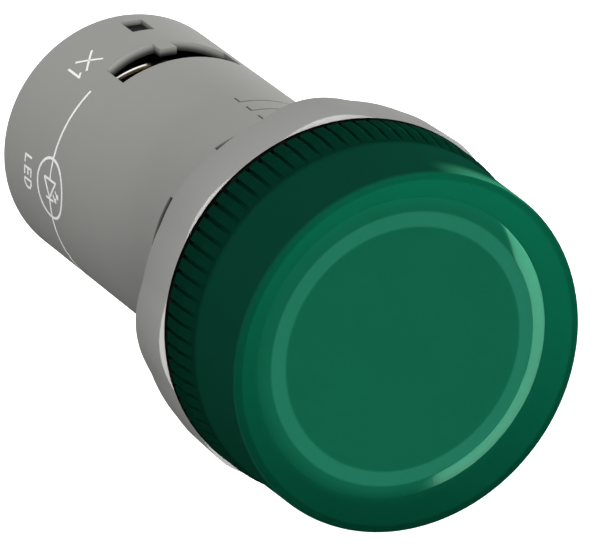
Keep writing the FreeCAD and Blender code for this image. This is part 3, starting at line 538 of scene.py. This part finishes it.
steps = [(0.0, TIN_GREY), (CAP_SHARE, LACQUER)]
for start, color in RINGS:
    steps += [(start, color), (start + RING_SHARE, LACQUER)]
steps.append((1 - CAP_SHARE, TIN_GREY))
low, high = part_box("resistor_1")
resistor_material, tree, shader = new_material("resistor_lacquer", Coat_Weight=0.3)
rings = colour_steps(tree, share_along(tree, low[1], high[1]), steps)
lay_on(tree, shader, moulded_skin, Color=rings, Clouding=0.15, Grain_size=0.5 * MM,
       Grain_height=0.4, Roughness=0.35)
dress(["resistor_1", "resistor_2"], resistor_material)


# Rectifier: four diodes cast in one black epoxy block, with a pale stripe at its plus end.
# The casting is matt on its sides and a little shiny where the mould was polished.
CAST_BLACK = (0.018, 0.018, 0.019)
STRIPE_PALE = (0.5, 0.5, 0.48)
low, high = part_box("rectifier")
rectifier_material, tree, shader = new_material("rectifier_epoxy", Specular_IOR_Level=0.4)
stripe = colour_steps(tree, share_along(tree, low[1], high[1]),
                      ((0.0, CAST_BLACK), (0.84, STRIPE_PALE), (0.92, CAST_BLACK)))
lay_on(tree, shader, moulded_skin, Color=stripe, Clouding=0.3, Grain_size=0.25 * MM,
       Grain_height=0.6, Roughness=0.55, Unevenness=0.2)
dress(["rectifier"], rectifier_material)


# Capacitor: a deep-drawn aluminium can, whose drawing leaves fine lines along it. A black
# band round its rear end marks the minus side.
CAN_BRIGHT = (0.74, 0.74, 0.76)
CAN_DULL = (0.5, 0.5, 0.52)
BAND_BLACK = (0.03, 0.03, 0.03)
low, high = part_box("capacitor")
can_material, tree, shader = new_material("can_aluminium", Metallic=0.9)
band = colour_steps(tree, share_along(tree, low[1], high[1]),
                    ((0.0, CAN_BRIGHT), (0.82, BAND_BLACK), (0.92, CAN_BRIGHT)))
lay_on(tree, shader, metal_skin, Color=band, Dull_color=CAN_DULL, Dulling=0.25,
       Lines=(9000, 300, 9000), Line_height=0.35, Roughness=0.28)
dress(["capacitor"], can_material)


# Varistor: a sintered disc dipped in blue lacquer. The dip leaves an uneven, glossy skin
# like the peel of an orange.
VARISTOR_BLUE = (0.045, 0.12, 0.40)
varistor_material, tree, shader = new_material("varistor_lacquer", Coat_Weight=0.4)
lay_on(tree, shader, moulded_skin, Color=VARISTOR_BLUE, Clouding=0.35,
       Grain_size=0.6 * MM, Grain_height=0.9, Roughness=0.32, Unevenness=0.2)
dress(["varistor"], varistor_material)


# Terminal block and rear cover: black glass-filled nylon. The block seats on the housing's
# shoulder and the cover snaps in behind it; the glass fibre shows as a faint speckle.
NYLON_BLACK = (0.006, 0.006, 0.006)
nylon_material, tree, shader = new_material("nylon_black", Specular_IOR_Level=0.08)
lay_on(tree, shader, moulded_skin, Color=NYLON_BLACK, Clouding=0.6,
       Grain_size=0.28 * MM, Grain_height=0.6, Roughness=0.6, Unevenness=0.2)
dress(["terminal_block", "rear_cover"], nylon_material)


# Contact plates: stamped from sheet brass, with a drawn boss for the screw's thread. The
# rolling lines run across the light, and handling has left brown patches.
BRASS = (0.72, 0.52, 0.22)
BRASS_BROWN = (0.30, 0.19, 0.08)
brass_material, tree, shader = new_material("brass_sheet", Metallic=1.0)
lay_on(tree, shader, metal_skin, Color=BRASS, Dull_color=BRASS_BROWN,
       Dulling=0.55, Lines=(250, 7000, 7000), Line_height=0.4, Roughness=0.33)
dress(["contact_plate_x1", "contact_plate_x2"], brass_material)


# Terminal screws: steel, nickel-plated in a barrel. The plating is bright, with fine scuffs
# from the tumbling.
NICKEL = (0.83, 0.82, 0.79)
NICKEL_DULL = (0.55, 0.54, 0.51)
nickel_material, tree, shader = new_material("nickel_plate", Metallic=1.0)
lay_on(tree, shader, metal_skin, Color=NICKEL, Dull_color=NICKEL_DULL,
       Dulling=0.3, Lines=(2600, 2600, 2600), Line_height=0.3, Roughness=0.24)
dress(["terminal_screw_x1", "terminal_screw_x2"], nickel_material)


# Clamp plates: sheet steel, pressed on the wires by the screws' heads. Tumbling has rounded
# their rims. Their faces are painted black as shade, and on the side where the wire goes in the
# rim is painted white as a highlight.
CLAMP_PLATES = ("clamp_plate_x1", "clamp_plate_x2")
CLAMP_SHADE_BLACK = (0.012, 0.012, 0.012)
CLAMP_HIGHLIGHT_WHITE = (0.97, 0.97, 0.97)
CLAMP_RADIUS = 9.3 * MM
CLAMP_HIGHLIGHT_BAND = 0.45 * MM
HIGHLIGHT_START = -1.3 * MM
HIGHLIGHT_END = -0.7 * MM
RIM_ROUNDING = 0.38 * MM
RIM_STEPS = 4
RIM_ANGLE = math.radians(50)
MERGE_WITHIN = 0.001 * MM
clamp_material, tree, shader = new_material("clamp_steel", Metallic=1.0)
across = place_across(tree)
# Painted shade and highlight: black faces, and a white band on the rim where the wire goes in.
on_rim = work_out(tree, "GREATER_THAN", radius_from_axis(tree, across),
                  CLAMP_RADIUS - CLAMP_HIGHLIGHT_BAND)
painted_highlight = product(tree, on_rim, soft_step(tree, across["X"], HIGHLIGHT_END, HIGHLIGHT_START))
shade = blend_colours(tree, painted_highlight, CLAMP_SHADE_BLACK, CLAMP_HIGHLIGHT_WHITE)
lay_on(tree, shader, metal_skin, Color=shade, Dull_color=shade,
       Dulling=0.05, Lines=(2600, 2600, 2600), Line_height=0.15, Roughness=0.2)
dress(CLAMP_PLATES, clamp_material)
for name in CLAMP_PLATES:
    joined = nodes[name].modifiers.new("joined", "WELD")
    joined.merge_threshold = MERGE_WITHIN
    rounded = nodes[name].modifiers.new("rounded_rim", "BEVEL")
    rounded.width = RIM_ROUNDING
    rounded.segments = RIM_STEPS
    rounded.angle_limit = RIM_ANGLE


# Gasket and lens seal: black rubber rings, the one clamped against the panel and the other
# between flange and lens. Talc from the mould leaves a faint grey bloom on them.
RUBBER_BLACK = (0.0024, 0.0024, 0.0024)
BLOOM_GREY = (0.010, 0.010, 0.010)
BLOOMS_PER_METRE = 700.0
BLOOM_FROM = 0.5
BLOOM_FULL = 0.75
rubber_material, tree, shader = new_material("rubber_black", Specular_IOR_Level=0.0)
bloom = noise(tree, object_place(tree), BLOOMS_PER_METRE, 5.0)
bloomed = stretch(tree, bloom, BLOOM_FROM, BLOOM_FULL)
dusty = blend_colours(tree, bloomed, RUBBER_BLACK, BLOOM_GREY)
lay_on(tree, shader, moulded_skin, Color=dusty, Grain_size=0.25 * MM,
       Grain_height=0.5, Roughness=0.65, Unevenness=0.15)
dress(["panel_gasket", "lens_seal"], rubber_material)


# Diffuser: a milky acrylic cup between LED and lens, which spreads the light. Its front rim
# stands close behind the lens; the lighter ring it shows through the lens is painted light in the
# lens's green.
MILKY_WHITE = (0.84, 0.86, 0.83)
diffuser_material, tree, shader = new_material("diffuser_milky", Subsurface_Weight=0.6,
                                               Subsurface_Scale=1.5 * MM)
lay_on(tree, shader, moulded_skin, Color=MILKY_WHITE, Clouding=0.04,
       Grain_size=0.4 * MM, Grain_height=0.1, Roughness=0.3)
dress(["diffuser"], diffuser_material)


# Lens: a polished cup of deep green polycarbonate that snaps over the flange, with a dished
# front and a ribbed grip. Its green is painted lighter over the diffuser's rim and near the front
# above, as painted light, and darkest over the flange, as painted shade; only the bevel round its
# front catches a highlight.
# The dish, and the lighter ring in it: painted light of the diffuser's rim behind.
FACE_GREEN = (0.0032, 0.0664, 0.0344)
RING_PAINTED_LIGHT_GREEN = (0.0092, 0.1000, 0.0584)
RING_INNER = 9.9 * MM
RING_OUTER = 11.1 * MM
RING_BLUR = 0.12 * MM
# The rim round the dish, painted lighter above than below and darker at its border: painted light
# and shade.
RIM_GREEN = (0.0016, 0.0670, 0.0340)
RIM_INNER = 11.2 * MM
RIM_OUTER = 12.8 * MM
RIM_DEPTH = -9.9 * MM
RIM_LEAN = 0.2
RIM_TOP_PAINTED_LIGHT = 1.4
RIM_BOTTOM_PAINTED_SHADE = 0.43
RIM_BORDER = 13.95 * MM
RIM_BORDER_PAINTED_SHADE = 0.62
LENS_RADIUS = 14.6 * MM
FACE_END = LENS_RADIUS - 0.05 * MM
FACE_FULL = LENS_RADIUS - 0.15 * MM
# The side wall with its painted glow near the front, and the grip in painted shade.
WALL_GREEN = (0.0027, 0.0440, 0.0245)
PAINTED_GLOW_GREEN = (0.025, 0.190, 0.105)
GLOW_ANGLE = math.radians(60)
GLOW_START = 0.93 * LENS_RADIUS
GLOW_REAR = -8.8 * MM
GLOW_FRONT = -11.4 * MM
GRIP_PAINTED_SHADE_GREEN = (0.0012, 0.0240, 0.0135)
GRIP_START = -5.3 * MM
GRIP_FULL = -4.5 * MM
# The bevel between dish and rim, which is glossy round one angle only.
BEVEL_OUTER = 12.3 * MM
BEVEL_SHEEN = 0.0142
BEVEL_GLOSS = 0.006
SHEEN_ANGLE = math.radians(-22)
SHEEN_WIDE = 0.66
SHEEN_GONE = 0.3


def past_ring(tree, radius, ring):
    """0 within a radius and 1 outside it, with the blur of a form behind the lens."""
    return soft_step(tree, radius, ring - RING_BLUR, ring + RING_BLUR)


def towards(tree, across, angle):
    """How far a place lies from the axis in the direction of an angle."""
    return work_out(tree, "ADD", product(tree, across["X"], math.cos(angle)),
                    product(tree, across["Z"], math.sin(angle)))


def lens_face(tree, across, radius):
    """The front's green: the dish, the ring in painted light, and the rim painted lighter above
    and darker at its border.
    """
    over_ring = work_out(tree, "SUBTRACT", past_ring(tree, radius, RING_INNER),
                         past_ring(tree, radius, RING_OUTER))
    dish = blend_colours(tree, over_ring, FACE_GREEN, RING_PAINTED_LIGHT_GREEN)
    height = work_out(tree, "ADD", across["Z"], product(tree, across["X"], RIM_LEAN))
    # Painted light and shade: the rim is lighter above, darker below and darker at its border.
    painted_light_gain = product(
        tree, stretch(tree, height, -LENS_RADIUS, LENS_RADIUS, RIM_BOTTOM_PAINTED_SHADE, RIM_TOP_PAINTED_LIGHT),
        between(tree, past_ring(tree, radius, RIM_BORDER), 1.0, RIM_BORDER_PAINTED_SHADE))
    rim = scale_colour(tree, RIM_GREEN, painted_light_gain)
    return blend_colours(tree, soft_step(tree, radius, RIM_INNER, RIM_OUTER), dish, rim)


def lens_wall(tree, across):
    """The side's green, with a painted glow near the front above, standing in for light."""
    in_painted_glow = product(
        tree, soft_step(tree, towards(tree, across, GLOW_ANGLE), GLOW_START, LENS_RADIUS),
        soft_step(tree, across["Y"], GLOW_REAR, GLOW_FRONT))
    return blend_colours(tree, in_painted_glow, WALL_GREEN, PAINTED_GLOW_GREEN)


def bevel_mask(tree, across, radius):
    """1 on the bevel. Away from the highlight's middle it narrows from within to nothing."""
    off_middle = work_out(tree, "DIVIDE", towards(tree, across, SHEEN_ANGLE), radius)
    inner_edge = between(tree, soft_step(tree, off_middle, SHEEN_WIDE, SHEEN_GONE),
                         RING_OUTER, BEVEL_OUTER)
    past_inner = stretch(tree, work_out(tree, "SUBTRACT", radius, inner_edge),
                         -RING_BLUR, RING_BLUR)
    past_outer = soft_step(tree, radius, BEVEL_OUTER, BEVEL_OUTER + RING_BLUR)
    return product(tree, past_inner, work_out(tree, "SUBTRACT", 1.0, past_outer))


lens_material, tree, shader = new_material(
    "lens_green", Specular_IOR_Level=0.0, Specular_Tint=(0.05, 0.2, 0.13),
    Coat_Roughness=0.11, Subsurface_Weight=0.25,
    Subsurface_Scale=1.2 * MM, Subsurface_Radius=(0.2, 1.0, 0.6),
)
across = place_across(tree)
radius = radius_from_axis(tree, across)
on_face = product(tree, soft_step(tree, across["Y"], RIM_DEPTH, RIM_DEPTH - 2 * RING_BLUR),
                  soft_step(tree, radius, FACE_END, FACE_FULL))
green = blend_colours(tree, on_face, lens_wall(tree, across), lens_face(tree, across, radius))
# Painted shade: the grip is a darker green.
in_grip = soft_step(tree, across["Y"], GRIP_START, GRIP_FULL)
green = blend_colours(tree, in_grip, green, GRIP_PAINTED_SHADE_GREEN)
lay_on(tree, shader, moulded_skin, Color=green, Clouding=0.08,
       Grain_size=2.0 * MM, Grain_height=0.02, Roughness=0.14, Unevenness=0.03)
on_bevel = bevel_mask(tree, across, radius)
feed(tree, shader.inputs["Metallic"], product(tree, on_bevel, BEVEL_SHEEN))
feed(tree, shader.inputs["Coat Weight"], product(tree, on_bevel, BEVEL_GLOSS))
dress(["lens"], lens_material)


# Fixing nut: moulded of the housing's grey and screwed over the barrel from the rear. Four
# large and four small corners swell softly out of its round; the large ones widen rearward.
NUT_GREY = (0.287, 0.289, 0.277)
NUT_FRONT_LIT_GREY = (0.40, 0.40, 0.39)
NUT_ROUND = 15.17 * MM
NUT_BORE = 10.98 * MM
NUT_FRONT = 0.03 * MM
NUT_REAR = 4.73 * MM
NUT_EDGE = 0.12 * MM
BORE_EDGE = 0.24 * MM
FRONT_EDGE = 0.03 * MM
NUT_STEPS = 360
NUT_CREASE = math.radians(40)
CORNER_TURN = 94.5
CORNER_PITCH = 90.0
CORNER_FULLNESS = 1.4
LARGE_SWELL = (0.45 * MM, 0.44 * MM)
LARGE_HALF_WIDTH = 15.5
SMALL_SWELL = (0.30 * MM, 0.2 * MM)
SMALL_HALF_WIDTH = 13.0


def corner_swell(angle, share):
    """How far the nut swells out at an angle, from its front (0) to its rear (1)."""
    half_pitch = CORNER_PITCH / 2
    out = 0.0
    for (front, rear), half_width, turn in (
        (LARGE_SWELL, LARGE_HALF_WIDTH, CORNER_TURN),
        (SMALL_SWELL, SMALL_HALF_WIDTH, CORNER_TURN + half_pitch),
    ):
        off = abs((angle - turn + half_pitch) % CORNER_PITCH - half_pitch) / half_width
        if off < 1:
            out += (front + (rear - front) * share) * (1 - off ** 2) ** CORNER_FULLNESS
    return out


nut_mesh = bpy.data.meshes.new("nut_with_soft_corners")
turned = bmesh.new()
section = [
    turned.verts.new((reach, depth, 0)) for reach, depth in (
        (NUT_BORE, NUT_FRONT + BORE_EDGE), (NUT_BORE + BORE_EDGE, NUT_FRONT),
        (NUT_ROUND - FRONT_EDGE, NUT_FRONT), (NUT_ROUND, NUT_FRONT + NUT_EDGE),
        (NUT_ROUND, NUT_REAR - NUT_EDGE), (NUT_ROUND - NUT_EDGE, NUT_REAR),
        (NUT_BORE + BORE_EDGE, NUT_REAR), (NUT_BORE, NUT_REAR - BORE_EDGE),
    )
]
edges = [turned.edges.new((section[number - 1], corner)) for number, corner in enumerate(section)]
bmesh.ops.spin(turned, geom=section + edges, cent=(0, 0, 0), axis=(0, 1, 0),
               angle=math.radians(360), steps=NUT_STEPS, use_merge=True)
bmesh.ops.remove_doubles(turned, verts=turned.verts[:], dist=MERGE_WITHIN)
for point in turned.verts:
    reach = math.hypot(point.co.x, point.co.z)
    if reach > NUT_ROUND - 2 * NUT_EDGE:
        share = (point.co.y - NUT_FRONT) / (NUT_REAR - NUT_FRONT)
        swell = corner_swell(math.degrees(math.atan2(point.co.z, point.co.x)), share)
        point.co.x *= (reach + swell) / reach
        point.co.z *= (reach + swell) / reach
bmesh.ops.recalc_face_normals(turned, faces=turned.faces[:])
turned.to_mesh(nut_mesh)
turned.free()
nut_mesh.shade_smooth()
nut_mesh.set_sharp_from_angle(angle=NUT_CREASE)
nut = bpy.data.objects.new("nut_with_soft_corners", nut_mesh)
scene.collection.objects.link(nut)
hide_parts("fixing_nut")
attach(nut, "nut")
nut_material, tree, shader = new_material("nut_grey", Specular_IOR_Level=0.0)
# Painted light: the front face is a lighter grey, where the front lamp falls on it.
on_front = soft_step(tree, place_across(tree)["Y"], NUT_FRONT + NUT_EDGE, NUT_FRONT + FRONT_EDGE)
grey = blend_colours(tree, on_front, NUT_GREY, NUT_FRONT_LIT_GREY)
lay_on(tree, shader, moulded_skin, Color=grey, Clouding=0.05, Grain_height=0.25, Roughness=0.5)
nut_mesh.materials.append(nut_material)
dress(["fixing_nut"], nut_material)


# Studio: a pale floor well below the light, a bright sky and three soft lamps. Camera, gloss
# and clear plastic see floor and sky white; on the light itself they shine at a plain level.
FLOOR_DEPTH = 150 * MM
FLOOR_HALF_WIDTH = 3.0
FLOOR_DIM = (0.08, 0.08, 0.08)
FLOOR_PALE = (0.3, 0.3, 0.3)
FLOOR_SHINE = (0.8, 0.8, 0.8)
SKY_WHITE = (1.0, 1.0, 1.0)
SKY_LEVEL = 0.91
floor_mesh = bpy.data.meshes.new("floor")
floor_build = bmesh.new()
bmesh.ops.create_grid(floor_build, x_segments=1, y_segments=1, size=FLOOR_HALF_WIDTH)
bmesh.ops.translate(floor_build, verts=floor_build.verts[:], vec=(0, 0, -FLOOR_DEPTH))
floor_build.to_mesh(floor_mesh)
floor_build.free()
floor = bpy.data.objects.new("floor", floor_mesh)
scene.collection.objects.link(floor)
floor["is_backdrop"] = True


def seen_white(tree):
    """1 for the rays of the camera, of gloss and of clear plastic, and 0 for the rest."""
    path = add_node(tree, "ShaderNodeLightPath")
    seen = work_out(tree, "MAXIMUM", path.outputs["Is Camera Ray"], path.outputs["Is Glossy Ray"])
    return work_out(tree, "MAXIMUM", seen, path.outputs["Is Transmission Ray"])


floor_material, tree, shader = new_material("floor_pale", Roughness=0.9,
                                            Emission_Color=FLOOR_SHINE)
seen = seen_white(tree)
feed(tree, shader.inputs["Base Color"], blend_colours(tree, seen, FLOOR_DIM, FLOOR_PALE))
feed(tree, shader.inputs["Emission Strength"], seen)
floor_mesh.materials.append(floor_material)

world = bpy.data.worlds.new("studio")
scene.world = world
world.use_nodes = True
tree = world.node_tree
sky = tree.nodes["Background"]
feed(tree, sky.inputs["Color"], SKY_WHITE)
feed(tree, sky.inputs["Strength"], stretch(tree, seen_white(tree), 0.0, 1.0, SKY_LEVEL, 1.0))


def soft_lamp(name, place, aim, sides, watts, diffuse=True, gloss=True):
    """A soft round lamp at a place, aimed at a point and unseen by the camera."""
    lamp = bpy.data.lights.new(name, "AREA")
    lamp.shape = "ELLIPSE"
    lamp.size, lamp.size_y = sides
    lamp.energy = watts
    stand = bpy.data.objects.new(name, lamp)
    scene.collection.objects.link(stand)
    stand.location = place
    stand.rotation_euler = (Vector(aim) - Vector(place)).to_track_quat("-Z", "Y").to_euler()
    stand.visible_camera = False
    stand.visible_diffuse = diffuse
    stand.visible_glossy = gloss


# The front lamp lights the forms, the one behind lights the barrel's far side, and the third
# gives the lens's bevel its highlight.
soft_lamp("front", (-0.110, -0.893, -0.031), (0, 0, 0), (0.56, 0.56), 14.2)
soft_lamp("rear_right", (0.318, 0.510, 0.010), (0, 0.02, 0), (0.2, 0.2), 4.5, gloss=False)
soft_lamp("glint", (0.127, -0.145, -0.080), (0, -0.0115, 0), (0.060, 0.150), 5.0, diffuse=False)

scene.view_settings.view_transform = "Standard"

low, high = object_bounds()
